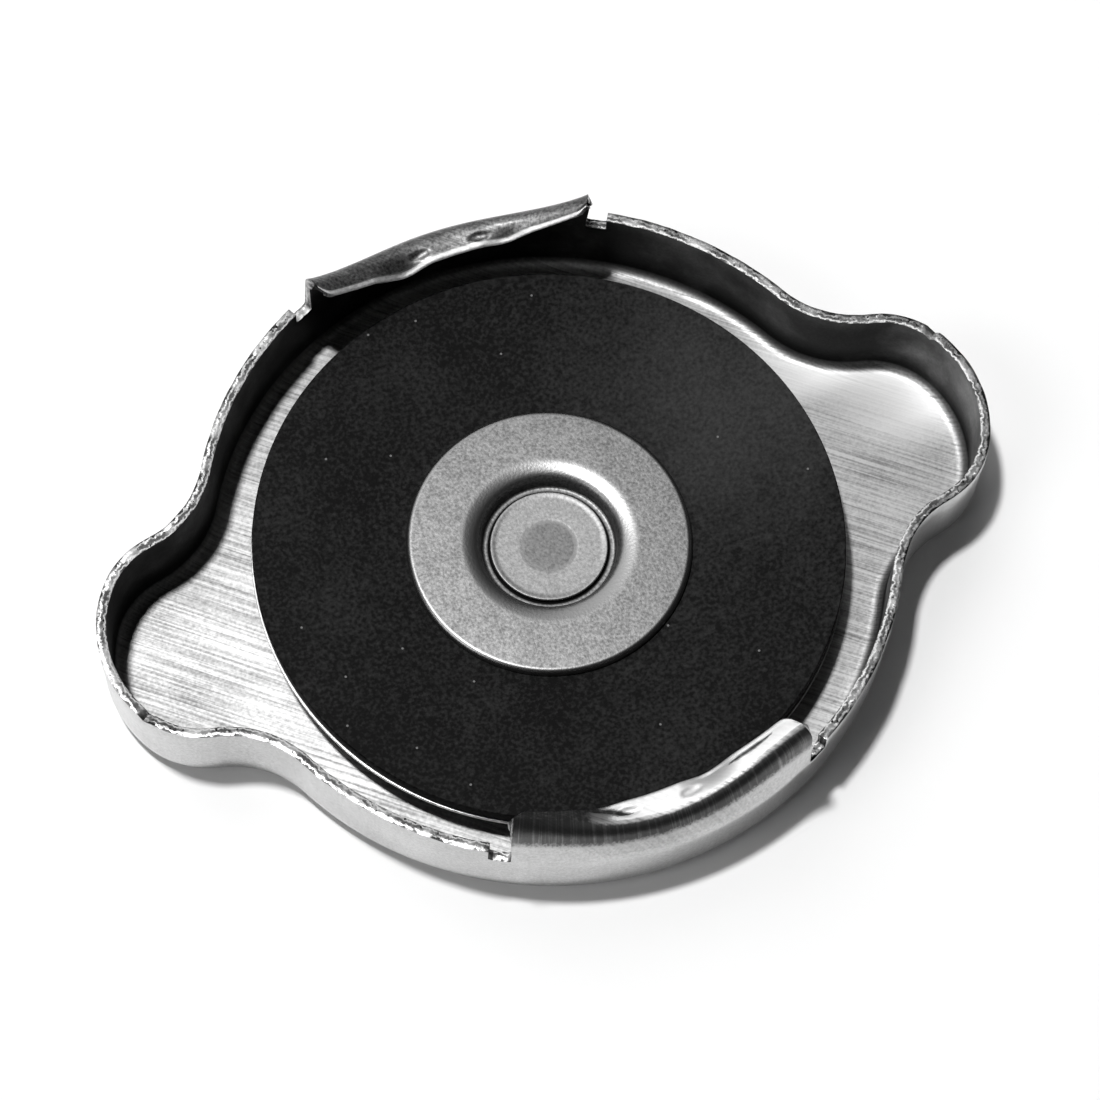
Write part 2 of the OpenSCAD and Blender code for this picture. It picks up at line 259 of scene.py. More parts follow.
def rim_rows(x, y, heading):
    """Rows from the foot of the slits to the sheared top of the rim."""
    top = RIM_H
    for height, size, seed in RIM_WAVES:
        top += height * wander((x, y, 0), size, seed)
    if abs(x) > corner_c[0]:
        side = math.copysign(1, x)
        along_corner = math.degrees(math.atan2(side * y - corner_c[1], side * x - corner_c[0]))
        top -= NICK_DEPTH * hump(along_corner - NICK_AT, NICK_HALF)
    rows = []
    for i in range(1, UPPER_ROWS + 1):
        share = i / UPPER_ROWS
        set_in = SET_IN * share ** 2 * (1 + wander((x, y, 0), SET_IN_SIZE, seed=4))
        rise = Vector((0, 0, SLIT_FOOT + (top - SLIT_FOOT) * share))
        rows.append(Vector((x, y, 0)) - level_ray(heading) * set_in + rise)
    return rows


print("rows above the slits:", UPPER_ROWS)

# %% Wall and flange of a lug
LUG_BEND_R = 1.4
ROLL_R, ROLL_TURN, DROP_CURVE = 0.4, 55, 1.4
PITS, PIT_HALF = ((5.2, 0.22), (-6.3, 0.26)), 1.05  # place in degrees and depth; half length in mm
ROUGH, ROUGH_SIZE, ROUGH_FROM = 0.05, 0.8, 2


def lug_place(x, y):
    """Degrees from the middle of the lug on this side, counted anticlockwise."""
    at = math.degrees(math.atan2(y, x))
    return at - 90 if y >= 0 else at + 90


def wall_profile(lean, fold_r, fold_z):
    """A lug's bowed wall and the bend at its top, as radius and height."""
    wall_end = Vector((fold_r + LUG_BEND_R * math.cos(lean), fold_z + LUG_BEND_R * math.sin(lean)))
    wall_knee = Vector((BODY_R, wall_end.y - (BODY_R - wall_end.x) / math.tan(lean)))
    wall_foot = Vector((BODY_R, SLIT_FOOT))
    profile = []
    for i in range(1, WALL_ROWS + 1):
        t = i / WALL_ROWS
        profile.append(tuple(wall_foot * (1 - t) ** 2 + wall_knee * 2 * t * (1 - t) + wall_end * t ** 2))
    for i in range(1, FOLD_ROWS + 1):
        a = lean + (math.pi / 2 - lean) * i / FOLD_ROWS
        profile.append((fold_r + LUG_BEND_R * math.cos(a), fold_z + LUG_BEND_R * math.sin(a)))
    return profile


def flange_profile(x, y, top, drop, fold_r, edge_r):
    """A lug's flange with its punch marks and its edge rolled down, as radius and height."""
    width = fold_r - edge_r
    roll_r = min(ROLL_R, ROLL_R * width)
    profile = []
    for i in range(1, FLANGE_ROWS + ROLL_ROWS + 1):
        rolled = math.radians(ROLL_TURN) * max(0, i - FLANGE_ROWS) / ROLL_ROWS
        share = min(1.0, i / FLANGE_ROWS)
        r = fold_r + (edge_r + roll_r - fold_r) * share
        pits = 0.0
        for middle, deep in PITS:
            across = (share - 0.5) * width / 0.5
            lengthwise = math.radians(lug_place(x, y) - middle) * r / PIT_HALF
            pits += deep * max(0.0, 1 - across ** 2 - lengthwise ** 2) ** 0.5
        rough = ROUGH * wander((x, y, r), ROUGH_SIZE, seed=5) * share * min(1.0, width / ROUGH_FROM)
        z = top - drop * share ** DROP_CURVE - pits - abs(rough) - roll_r * (1 - math.cos(rolled))
        profile.append((r - roll_r * math.sin(rolled), z))
    return profile


print("rows of a lug's wall, bend, flange and edge:", WALL_ROWS, FOLD_ROWS, FLANGE_ROWS, ROLL_ROWS)

# %% Rows of a lug
TOP_RISE, TOP_END_RISE, TOP_CURVE = 1.3, 3.4, 2.2  # over the rim, in the middle and more at the ends
EDGE_RISE, EDGE_END_RISE, END_CURVE = 1.2, 3.2, 2.5
LEAN, LEAN_LOSS, LEAN_BOW = 26, 21, 5  # degrees
EDGE_R, EDGE_OUT, EDGE_SKEW, FLANGE_LEAST = 27.6, 1.3, 0.35, 0.4
DENTS = ((9.5, 6.5, 1.0), (-11, 5.5, 0.55))  # place and half width in degrees, depth in mm
CORNER_CUT = 1.2
TORN, TORN_SIZE, TORN_END = 0.10, 1.0, (0.95, 0.05)


def lug_rows(x, y):
    """Rows from the foot of the slits up a lug's wall, over its bend and to its edge."""
    u = lug_place(x, y) / LUG_HALF
    ends = abs(u) ** END_CURVE
    top = RIM_H + TOP_RISE + TOP_END_RISE * abs(u) ** TOP_CURVE
    lean = math.radians(LEAN - LEAN_LOSS * ends)
    fold_z = top - LUG_BEND_R
    straight = fold_z + LUG_BEND_R * math.sin(lean) - SLIT_FOOT
    fold_r = BODY_R - straight * math.tan(lean) - LUG_BEND_R * math.cos(lean)
    past = max(0.0, (abs(u) - 1) * math.radians(LUG_HALF) * BODY_R + CORNER_CUT)
    relief = CORNER_CUT - math.sqrt(max(0.0, CORNER_CUT ** 2 - past ** 2))
    edge_r = min(EDGE_R + EDGE_OUT * ends - EDGE_SKEW * u + relief, fold_r - FLANGE_LEAST)
    dents = sum(deep * hump(lug_place(x, y) - middle, wide) for middle, wide, deep in DENTS)
    drop = top - RIM_H - EDGE_RISE - EDGE_END_RISE * ends + dents
    profile = wall_profile(lean + math.radians(LEAN_BOW) * (1 - ends), fold_r, fold_z)
    profile += flange_profile(x, y, top, drop, fold_r, edge_r)
    ray = Vector((x, y, 0)).normalized()
    sideways = Vector((-ray.y, ray.x, 0))
    near_end = max(0.0, (abs(u) - TORN_END[0]) / TORN_END[1])
    rows = []
    for r, z in profile:
        torn = -math.copysign(TORN, u) * near_end * (1 + wander((r, z, u), TORN_SIZE, seed=6))
        rows.append(ray * r + sideways * torn + Vector((0, 0, z)))
    return rows


print("lug's top in the middle:", RIM_H + TOP_RISE, "mm, at its ends:", RIM_H + TOP_RISE + TOP_END_RISE)

# %% Painted shade and highlight on a lug
# Painted shade on the bends, on the far flange and on part of the near flange; painted highlight on the rest
# of the near flange and on the far flange's edge.
WALL_FADE = 2
FAR_SHADE, FAR_EDGE, FAR_HIGHLIGHT = 0.55, 0.9, -0.5
TEAR_AT, TEAR_SLANT, TEAR_HALF, TEAR_FROM = -11.5, 7, 1.8, 0.35
CREASE_AT, CREASE_HALF, CREASE_ROW, CREASE_WIDE, CREASE_LEAST = 17.5, 4.5, 0.8, 0.2, 0.05
CREASE_SHARE, MARK_GAIN, MARK_SHADE = 0.75, 1.6, 1.2
BEND_SHADE, HIGHLIGHT_AT = (-0.25, 0.35), (-14, 6)  # start and width
NEAR_SHADE, NEAR_HIGHLIGHT = 0.7, 1.5


def flange_marks(flange, along):
    """The slanting tear and the tapered crease in the near lug's flange, painted as dark lines of shade, 0 to
    1.
    """
    beside = abs(along - TEAR_AT - TEAR_SLANT * (1 - flange))
    tear = max(0.0, 1 - beside / TEAR_HALF) if flange > TEAR_FROM else 0.0
    taper = 1 - ((along - CREASE_AT) / CREASE_HALF) ** 2
    crease = 0.0
    if taper > CREASE_LEAST:
        crease = max(0.0, 1 - abs(flange - CREASE_ROW) / (CREASE_WIDE * taper))
    return min(1.0, MARK_GAIN * max(tear, CREASE_SHARE * crease))


def painted_lug_shading_at(row, x, y):
    """Painted shade on a row of a lug, from 1 to 0, or a painted highlight below 0 on the flange."""
    if row < WALL_ROWS:
        return max(0.0, 1 - (WALL_ROWS - 1 - row) / WALL_FADE)
    flange = (row - WALL_ROWS - FOLD_ROWS + 1) / FLANGE_ROWS
    if y > 0:
        return FAR_SHADE if flange < FAR_EDGE else FAR_HIGHLIGHT
    along = lug_place(x, y)
    bend = 1 - climb(flange, *BEND_SHADE)
    shaded = bend + (1 - bend) * (NEAR_SHADE - NEAR_HIGHLIGHT * climb(along, *HIGHLIGHT_AT))
    return shaded + (MARK_SHADE - shaded) * flange_marks(flange, along)


# The painted shade at the foot of a lug's bend.
print("tarnish at the foot of a lug's bend:", painted_lug_shading_at(WALL_ROWS - 1, 0, BODY_R))

# %% Lay the sheet
HAIR = 0.01  # degrees
FOOT_LOW, FOOT_RAGGED, FOOT_SIZE = 0.12, 0.16, 0.7
points, kinds, painted_lug_shading, painted_floor_light = [], [], [], []
for x, y, heading in outline:
    place = abs(lug_place(x, y))
    kind = "lug" if place < LUG_HALF + HAIR else "slit" if place < LUG_HALF + SLIT - HAIR else "rim"
    rows = lower_rows(x, y, heading)
    if kind == "slit":
        rows[-1] = rows[-1] + Vector((0, 0, -FOOT_LOW + FOOT_RAGGED * wander((x, y, 0), FOOT_SIZE, seed=7)))
    # Painted light on the floor of one ear, per point.
    painted_floor_light += [floor_painted_light(row, x, y) for row in range(len(rows))] + [0.0] * UPPER_ROWS
    # Painted shade and highlight on the lugs, per point.
    painted_lug_shading += [0.0] * len(rows)
    painted_lug_shading += [painted_lug_shading_at(row, x, y) if kind == "lug" else 0.0 for row in range(UPPER_ROWS)]
    points += rows + (lug_rows(x, y) if kind == "lug" else rim_rows(x, y, heading))
    kinds.append(kind)
per_column = len(points) // len(outline)
foot_row = per_column - UPPER_ROWS - 1
faces = []
for i, kind in enumerate(kinds):
    j = (i + 1) % len(kinds)
    last = per_column - 1 if kind == kinds[j] and kind != "slit" else foot_row
    for k in range(last):
        here, beside = i * per_column + k, j * per_column + k
        faces.append((here, beside, beside + 1, here + 1))
used = sorted({v for corners in faces for v in corners})
renumbered = {v: n for n, v in enumerate(used)}
sheet_faces = [[renumbered[v] for v in corners] for corners in faces]
shell = mesh_object("pressed_shell", [points[v] for v in used], sheet_faces)
print("sheet:", len(used), "points,", len(faces), "faces")

# %% [markdown]
# ## Turned pieces
# The disc, the gasket, the washer and the rivet are round about one axis. Each follows one rule: a
# section turned once round. A screw modifier could do it, but a Geometry Nodes tree keeps the rule in
# sight: a grid is laid with one column for each step round and one row for each point of the section,
# and every grid point looks up its section point and is turned to its place.

# %% Helpers for Geometry Nodes trees


def new_tree(name, inputs, output):
    """A tree with named inputs; returns it, the outputs of its input node and each input's identifier."""
    tree = bpy.data.node_groups.new(name, "GeometryNodeTree")
    labels = {}
    for label, kind in inputs.items():
        socket = tree.interface.new_socket(label, in_out="INPUT", socket_type="NodeSocket" + kind)
        labels[label] = socket.identifier
    tree.interface.new_socket(output, in_out="OUTPUT", socket_type="NodeSocketGeometry")
    return tree, add_node(tree, "NodeGroupInput").outputs, labels


def end_tree(tree, shape, finish, output):
    """Ends a tree as the export needs it: real meshes, with their material."""
    solid = add_node(tree, "GeometryNodeRealizeInstances", {"Geometry": shape})
    dressed = add_node(tree, "GeometryNodeSetMaterial", {"Geometry": solid.outputs[0], "Material": finish})
    add_node(tree, "NodeGroupOutput", {output: dressed.outputs[0]})
    print(tree.name, "has", len(tree.nodes), "nodes")


def run_tree(piece, tree, labels, values):
    """Puts a tree on a piece as a modifier and sets its inputs by their identifiers."""
    modifier = piece.modifiers.new(tree.name, "NODES")
    modifier.node_group = tree
    for label, value in values.items():
        modifier[labels[label]] = value


# %% The turning tree
WELD = 0.000001  # metres
turning, given, turning_labels = new_tree(
    "turn a section round the axis",
    {"Section": "Geometry", "Steps round": "Int", "Finish": "Material"}, "Turned",
)
section = given["Section"]
size = add_node(turning, "GeometryNodeAttributeDomainSize", {0: section}, component="MESH")
points_n, steps_n = size.outputs["Point Count"], given["Steps round"]
rows_n = add_node(turning, "ShaderNodeMath", {0: points_n, 1: 1.0}, operation="ADD").outputs[0]
columns_n = add_node(turning, "ShaderNodeMath", {0: steps_n, 1: 1.0}, operation="ADD").outputs[0]
grid = add_node(turning, "GeometryNodeMeshGrid", {"Vertices X": columns_n, "Vertices Y": rows_n})
index = add_node(turning, "GeometryNodeInputIndex").outputs[0]
column = add_node(turning, "ShaderNodeMath", {0: index, 1: rows_n}, operation="DIVIDE")
whole = add_node(turning, "ShaderNodeMath", {0: column.outputs[0]}, operation="FLOOR")
row = add_node(turning, "ShaderNodeMath", {0: index, 1: rows_n}, operation="MODULO")
closed = add_node(turning, "ShaderNodeMath", {0: row.outputs[0], 1: points_n}, operation="MODULO")
part = add_node(turning, "ShaderNodeMath", {0: whole.outputs[0], 1: steps_n}, operation="DIVIDE")
angle = add_node(turning, "ShaderNodeMath", {0: part.outputs[0], 1: 2 * math.pi}, operation="MULTIPLY")
spot = add_node(turning, "GeometryNodeInputPosition").outputs[0]
look_up = add_node(
    turning, "GeometryNodeSampleIndex",
    {"Geometry": section, "Value": spot, "Index": closed.outputs[0]},
    data_type="FLOAT_VECTOR", domain="POINT",
)
turned = add_node(
    turning, "ShaderNodeVectorRotate", {"Vector": look_up.outputs[0], "Angle": angle.outputs[0]},
    rotation_type="Z_AXIS",
)
placed = add_node(turning, "GeometryNodeSetPosition", {
    "Geometry": grid.outputs["Mesh"], "Position": turned.outputs[0],
})
merged = add_node(turning, "GeometryNodeMergeByDistance", {"Geometry": placed.outputs[0], "Distance": WELD})
end_tree(turning, merged.outputs[0], given["Finish"], "Turned")

# %% [markdown]
# ## Finishes
# The whole cap is grey to the eye, so the finishes differ by gloss, grain and tone. Each material starts
# from what the surface is and how it was made. Patterns use Object coordinates in metres, so a scale is
# one over the real size of the grain. A Mix node has sockets for every kind of value, so the ones for
# numbers and for colours are picked by their place in the list, and these places get names here.

# %% Helpers for materials
FACTOR, NUMBER_A, NUMBER_B, COLOUR_A, COLOUR_B = 0, 2, 3, 6, 7
MIXED_COLOUR = 2


def per_metre(size_mm):
    """Scale of a pattern whose grain has this size, rounded to whole tens."""
    return round(1000 / size_mm, -1)


def begin(name):
    """New material, with its tree, its shader and the socket that tells a point's place in metres."""
    material = bpy.data.materials.new(name)
    material.use_nodes = True
    tree = material.node_tree
    place = add_node(tree, "ShaderNodeTexCoord").outputs["Object"]
    print("material", name)
    return material, tree, tree.nodes["Principled BSDF"], place


print("a grain of 0.25 mm has the scale", per_metre(0.25))

# %% [markdown]
# ## Zinc plate over brushed sheet
# The shell is rolled sheet under bright zinc. A picture of brushed steel could be wrapped round it, but
# noise that is stretched one way has no seam and stays sharp close by. Three marks on the mesh's points
# steer the rest. "through" tells the outside of the sheet, 0, from its inside, 1, where painted shade darkens
# the drawn walls; the outer walls get a paler tone as painted light. The second mark is painted shade on the
# lugs above 0 and a painted highlight below 0. The third is a pool of light painted on the floor of one ear.

# %% Grain of the zinc plate
# Straight brush lines blur the mirror on the flats and fade on the walls. They are 0.25 mm wide, a little
# coarser than real, so that they show. Clouds of 6 mm and a fine speckle break up the even grey.
BRUSH_TURN = (0, 0, math.radians(38.6))
LINE_SCALE = (per_metre(16.7), per_metre(0.25), per_metre(16.7))
zinc, tree, shader, place = begin("zinc_plated_brushed_steel")
lie = add_node(tree, "ShaderNodeMapping", {"Vector": place, "Rotation": BRUSH_TURN})
lines = add_node(tree, "ShaderNodeMapping", {"Vector": lie.outputs[0], "Scale": LINE_SCALE})
fine = add_node(tree, "ShaderNodeTexNoise", {
    "Vector": lines.outputs[0], "Scale": 1.0, "Detail": 3.0, "Roughness": 0.6,
})
normal = add_node(tree, "ShaderNodeNewGeometry").outputs["Normal"]
facing = add_node(tree, "ShaderNodeSeparateXYZ", {0: normal})
level = add_node(tree, "ShaderNodeMath", {0: facing.outputs["Z"]}, operation="ABSOLUTE")
flatness = add_node(tree, "ShaderNodeMapRange", {
    "Value": level.outputs[0], "From Min": 0.3, "From Max": 0.9, "To Min": 0.12, "To Max": 1.0,
}).outputs[0]
brush = add_node(tree, "ShaderNodeMix", {
    FACTOR: flatness, NUMBER_A: 0.5, NUMBER_B: fine.outputs["Fac"],
}, data_type="FLOAT").outputs[0]
cloud = add_node(tree, "ShaderNodeTexNoise", {
    "Vector": place, "Scale": per_metre(6.25), "Detail": 4.0,
}).outputs["Fac"]
speckle = add_node(tree, "ShaderNodeTexNoise", {
    "Vector": place, "Scale": per_metre(0.263), "Detail": 2.0,
}).outputs["Fac"]
clouded = add_node(tree, "ShaderNodeMath", {0: cloud, 1: 0.3, 2: brush}, operation="MULTIPLY_ADD")
grain = add_node(tree, "ShaderNodeMath", {
    0: speckle, 1: 0.4, 2: clouded.outputs[0],
}, operation="MULTIPLY_ADD").outputs[0]

# %% Tone of the flats, with painted light on the outer skirt and painted shade on the inner walls
tone = add_node(tree, "ShaderNodeValToRGB", {"Fac": grain}, ((0.6, "#747474"), (1.0, "#B6B6B6")))
# Painted light: the outer skirt gets a paler tone, as if lit.
painted_outer_light = add_node(tree, "ShaderNodeValToRGB", {"Fac": grain}, ((0.7, "#A8A8A8"), (1.0, "#D2D2D2")))
shade_unevenness = add_node(tree, "ShaderNodeMapRange", {
    "Value": cloud, "From Min": 0.45, "From Max": 0.68, "To Min": 0.96, "To Max": 0.8,
})
# Painted shade: the drawn inner walls are darkened nearly to black, unevenly.
inside = add_node(tree, "ShaderNodeAttribute", attribute_name="through").outputs["Fac"]
inner_shade_mask = add_node(tree, "ShaderNodeMath", {0: inside, 1: shade_unevenness.outputs[0]}, operation="MULTIPLY")
drawn = add_node(tree, "ShaderNodeMapRange", {
    "Value": flatness, "From Min": 0.12, "From Max": 0.8, "To Min": 1.0, "To Max": 0.0,
}).outputs[0]
inner_wall_shade = add_node(tree, "ShaderNodeMath", {0: inner_shade_mask.outputs[0], 1: drawn}, operation="MULTIPLY").outputs[0]
outer_wall_light_mask = add_node(tree, "ShaderNodeMath", {0: drawn, 1: inner_wall_shade}, operation="SUBTRACT")
skirt_with_painted_light = add_node(tree, "ShaderNodeMix", {
    FACTOR: outer_wall_light_mask.outputs[0], COLOUR_A: tone.outputs[0], COLOUR_B: painted_outer_light.outputs[0],
}, data_type="RGBA")
walls_with_painted_shade = add_node(tree, "ShaderNodeMix", {
    FACTOR: inner_wall_shade, COLOUR_A: skirt_with_painted_light.outputs[MIXED_COLOUR], COLOUR_B: linear("#141414"),
}, data_type="RGBA")
print("nodes for grain and tone:", len(tree.nodes))

# %% Painted shade and highlight on the lugs
# Scratches run up the wall and over the bend: their noise changes fast round the axis and slowly with the
# height. There are 75 in a radian, which is one in 0.43 mm of the wall.
SCRATCHES = 75.0
mark = add_node(tree, "ShaderNodeAttribute", attribute_name="painted_lug_shading").outputs["Fac"]
frayed = add_node(tree, "ShaderNodeMath", {0: speckle, 1: 0.7, 2: mark}, operation="MULTIPLY_ADD").outputs[0]
spot = add_node(tree, "ShaderNodeSeparateXYZ", {0: place}).outputs
turn = add_node(tree, "ShaderNodeMath", {0: spot["Y"], 1: spot["X"]}, operation="ARCTAN2")
streak = add_node(tree, "ShaderNodeCombineXYZ", {0: turn.outputs[0], 1: spot["Z"]})
scratch = add_node(tree, "ShaderNodeTexNoise", {
    "Vector": streak.outputs[0], "Scale": SCRATCHES, "Detail": 3.0, "Roughness": 0.7,
})
scored = add_node(tree, "ShaderNodeMapRange", {
    "Value": scratch.outputs["Fac"], "From Min": 0.5, "From Max": 0.72, "To Min": 0.92, "To Max": 0.6,
})
# Painted shade: dark grey on the lugs' bends, flanges, tear and crease, broken up by the scratches.
lug_shade_amount = add_node(tree, "ShaderNodeMapRange", {
    "Value": frayed, "From Min": 0.6, "From Max": 1.1, "To Max": scored.outputs[0],
}, interpolation_type="SMOOTHSTEP")
painted_lug_highlight = add_node(tree, "ShaderNodeMapRange", {
    "Value": frayed, "From Min": 0.2, "From Max": -0.3, "To Max": 0.8,
}, interpolation_type="SMOOTHSTEP").outputs[0]
# Painted light: a pool of light on the floor of one ear and painted highlights on the lugs lift the tone to
# pale grey.
floor_light_mask = add_node(tree, "ShaderNodeAttribute", attribute_name="painted_floor_light").outputs["Fac"]
painted_shine = add_node(tree, "ShaderNodeMath", {0: floor_light_mask, 1: 0.95, 2: painted_lug_highlight}, operation="MULTIPLY_ADD")
tone_with_painted_light = add_node(tree, "ShaderNodeMix", {
    FACTOR: painted_shine.outputs[0], COLOUR_A: walls_with_painted_shade.outputs[MIXED_COLOUR], COLOUR_B: linear("#F0F0F0"),
}, data_type="RGBA")
coat = add_node(tree, "ShaderNodeMix", {
    FACTOR: lug_shade_amount.outputs[0], COLOUR_A: tone_with_painted_light.outputs[MIXED_COLOUR], COLOUR_B: linear("#3A3A3A"),
}, data_type="RGBA")
print("nodes with tarnish and polish:", len(tree.nodes))

# %% Gloss of the zinc plate
# The plate is glossiest on the walls; the brushed flats, the inner walls under painted shade and the places
# of painted highlight on the lugs are duller.
uneven = add_node(tree, "ShaderNodeMapRange", {
    "Value": grain, "From Min": 0.55, "From Max": 1.05, "To Min": 0.05, "To Max": -0.07,
})
dull = add_node(tree, "ShaderNodeMath", {0: uneven.outputs[0], 1: 0.22}, operation="ADD").outputs[0]
for amount, more in ((inner_wall_shade, 0.3), (flatness, 0.3), (painted_lug_highlight, 0.2)):
    added = add_node(tree, "ShaderNodeMath", {0: amount, 1: more, 2: dull}, operation="MULTIPLY_ADD")
    dull = added.outputs[0]
relief = add_node(tree, "ShaderNodeBump", {"Height": brush, "Strength": 0.25, "Distance": 0.02 * MM})
wire(tree, shader, {
    "Metallic": 1.0, "Base Color": coat.outputs[MIXED_COLOUR], "Roughness": dull, "Normal": relief.outputs[0],
})
print(zinc.name, "has", len(tree.nodes), "nodes")

# %% [markdown]
# ## Sheared edge of the sheet
# A sheared cut has two zones: the punch first burnishes a bright band, then the rest of the sheet tears
# off grey and pitted and leaves a bright burr. Two strips of faces could carry two materials, but their
# border would be straight. Here the mark "through" tells how deep in the sheet a point lies, and noise
# frays the borders of the zones.

# %% Bare sheared steel
# To the eye: a bright line, a dark torn band of 0.7 mm grain and a bright burr, scuffed pale by handling.
# The bright line and the burr are partly burnished metal and partly painted highlight, and the dark lines
# are partly torn grey metal and partly painted shade.
sheared, tree, shader, place = begin("bare_sheared_steel")
inside = add_node(tree, "ShaderNodeAttribute", attribute_name="through").outputs["Fac"]
tear = add_node(tree, "ShaderNodeTexNoise", {
    "Vector": place, "Scale": per_metre(0.667), "Detail": 4.0, "Roughness": 0.65,
}).outputs["Fac"]
ragged = add_node(tree, "ShaderNodeMapRange", {
    "Value": tear, "From Min": 0.25, "From Max": 0.75, "To Min": -0.3, "To Max": 0.3,
})
depth = add_node(tree, "ShaderNodeMath", {0: inside, 1: ragged.outputs[0]}, operation="ADD").outputs[0]
# Painted highlight and painted shade: bright and dark lines alternate across the cut.
tone = add_node(tree, "ShaderNodeValToRGB", {"Fac": depth}, (
    (0.14, "#303030"), (0.24, "#B4B4B4"), (0.38, "#8C8C8C"), (0.46, "#404040"),
    (0.70, "#5A5A5A"), (0.84, "#D0D0D0"), (0.98, "#4A4A4A"),
))
patch = add_node(tree, "ShaderNodeTexNoise", {"Vector": place, "Scale": per_metre(2.38), "Detail": 3.0})
handled = add_node(tree, "ShaderNodeMapRange", {
    "Value": patch.outputs["Fac"], "From Min": 0.48, "From Max": 0.66, "To Max": 0.6,
})
scuffed = add_node(tree, "ShaderNodeMix", {
    FACTOR: handled.outputs[0], COLOUR_A: tone.outputs[0], COLOUR_B: linear("#C4C4C4"),
}, data_type="RGBA")
dull = add_node(tree, "ShaderNodeMapRange", {
    "Value": depth, "From Min": 0.35, "From Max": 0.55, "To Min": 0.34, "To Max": 0.6,
})
relief = add_node(tree, "ShaderNodeBump", {"Height": tear, "Strength": 0.5, "Distance": 0.12 * MM})
wire(tree, shader, {
    "Metallic": 1.0, "Base Color": scuffed.outputs[MIXED_COLOUR],
    "Roughness": dull.outputs[0], "Normal": relief.outputs[0],
})

# %% [markdown]
# ## Moulded rubber
# The gasket is black rubber from a matt mould. One flat black would look like a hole in the picture, so a
# grain from the mould, a painted sheen of grey on one side and a few specks of dust give it a surface.
# The specks are the middles of large Voronoi cells, of which most are left out.

# %% Moulded black rubber
# To the eye: nearly black and matt, with a grain of 0.36 mm, a pale painted sheen on one side and specks of
# dust.
SHEEN_AT, SHEEN_REACH = (0.0215, 0.009, 0.005), 0.021  # metres
rubber, tree, shader, place = begin("moulded_black_rubber")
grain = add_node(tree, "ShaderNodeTexNoise", {
    "Vector": place, "Scale": per_metre(0.357), "Detail": 2.0,
}).outputs["Fac"]
patch = add_node(tree, "ShaderNodeTexNoise", {"Vector": place, "Scale": per_metre(7.7), "Detail": 3.0})
uneven = add_node(tree, "ShaderNodeMath", {
    0: patch.outputs["Fac"], 1: 0.4, 2: grain,
}, operation="MULTIPLY_ADD")
# Painted sheen: the rubber is lighter round one spot on its top.
away = add_node(tree, "ShaderNodeVectorMath", {0: place, 1: SHEEN_AT}, operation="DISTANCE")
painted_sheen = add_node(tree, "ShaderNodeMapRange", {
    "Value": away.outputs["Value"], "From Min": 0.0, "From Max": SHEEN_REACH, "To Min": 0.34, "To Max": 0.0,
}, interpolation_type="SMOOTHSTEP")
greyed = add_node(tree, "ShaderNodeMath", {
    0: uneven.outputs[0], 1: 0.8, 2: painted_sheen.outputs[0],
}, operation="MULTIPLY_ADD")
tone = add_node(tree, "ShaderNodeValToRGB", {"Fac": greyed.outputs[0]}, ((0.48, "#020202"), (1.0, "#343434")))
cells = add_node(
    tree, "ShaderNodeTexVoronoi", {"Vector": place, "Scale": per_metre(5)}, voronoi_dimensions="2D",
)
speck = add_node(tree, "ShaderNodeMath", {0: cells.outputs["Distance"], 1: 0.022}, operation="LESS_THAN")
chosen = add_node(tree, "ShaderNodeMath", {0: cells.outputs["Color"], 1: 0.62}, operation="GREATER_THAN")
dust = add_node(tree, "ShaderNodeMath", {0: speck.outputs[0], 1: chosen.outputs[0]}, operation="MULTIPLY")
dusty = add_node(tree, "ShaderNodeMix", {
    FACTOR: dust.outputs[0], COLOUR_A: tone.outputs[0], COLOUR_B: linear("#707070"),
}, data_type="RGBA")
relief = add_node(tree, "ShaderNodeBump", {"Height": grain, "Strength": 0.35, "Distance": 0.04 * MM})
wire(tree, shader, {
    "Metallic": 0.0, "Roughness": 0.7, "Specular IOR Level": 0.12,
    "Base Color": dusty.outputs[MIXED_COLOUR], "Normal": relief.outputs[0],
})

# %% [markdown]
# ## Tumbled washer steel
# The washer was blanked and then tumbled in a drum, which leaves an even grain without direction. The
# forming die burnished its shoulder and its border, which get a paler tone that is partly a painted
# highlight, and a dark ring of painted shade lies in the seam round the rivet's head.
# These places are rings, so the distance from the axis picks them. A mesh cut into rings could do it too,
# but a distance needs no edges there.

# %% Satin tumbled steel
# To the eye: satin grey with a grain of 0.25 mm, brighter, glossier rings partly painted as highlight, and a
# dark line of painted shade round the rivet.
RING_STEPS = {"clear": (5.6, 5.8), "above": (6.4, 6.8), "dip": (7.7, 8.4), "border": (12.5, 12.8)}  # mm
satin, tree, shader, place = begin("satin_tumbled_steel")
grain = add_node(tree, "ShaderNodeTexNoise", {
    "Vector": place, "Scale": per_metre(0.25), "Detail": 2.0,
}).outputs["Fac"]
patch = add_node(tree, "ShaderNodeTexNoise", {"Vector": place, "Scale": per_metre(2.86), "Detail": 4.0})
uneven = add_node(tree, "ShaderNodeMath", {
    0: patch.outputs["Fac"], 1: 0.25, 2: grain,
}, operation="MULTIPLY_ADD")
tone = add_node(tree, "ShaderNodeValToRGB", {"Fac": uneven.outputs[0]}, ((0.4, "#5E5E5E"), (0.85, "#8E8E8E")))
flat = add_node(tree, "ShaderNodeMapping", {"Vector": place, "Scale": (1, 1, 0)})
radius = add_node(tree, "ShaderNodeVectorMath", {0: flat.outputs[0]}, operation="LENGTH")
ring = {}
for name, (start, end) in RING_STEPS.items():
    ring[name] = add_node(tree, "ShaderNodeMapRange", {
        "Value": radius.outputs["Value"], "From Min": start * MM, "From Max": end * MM,
    }).outputs[0]
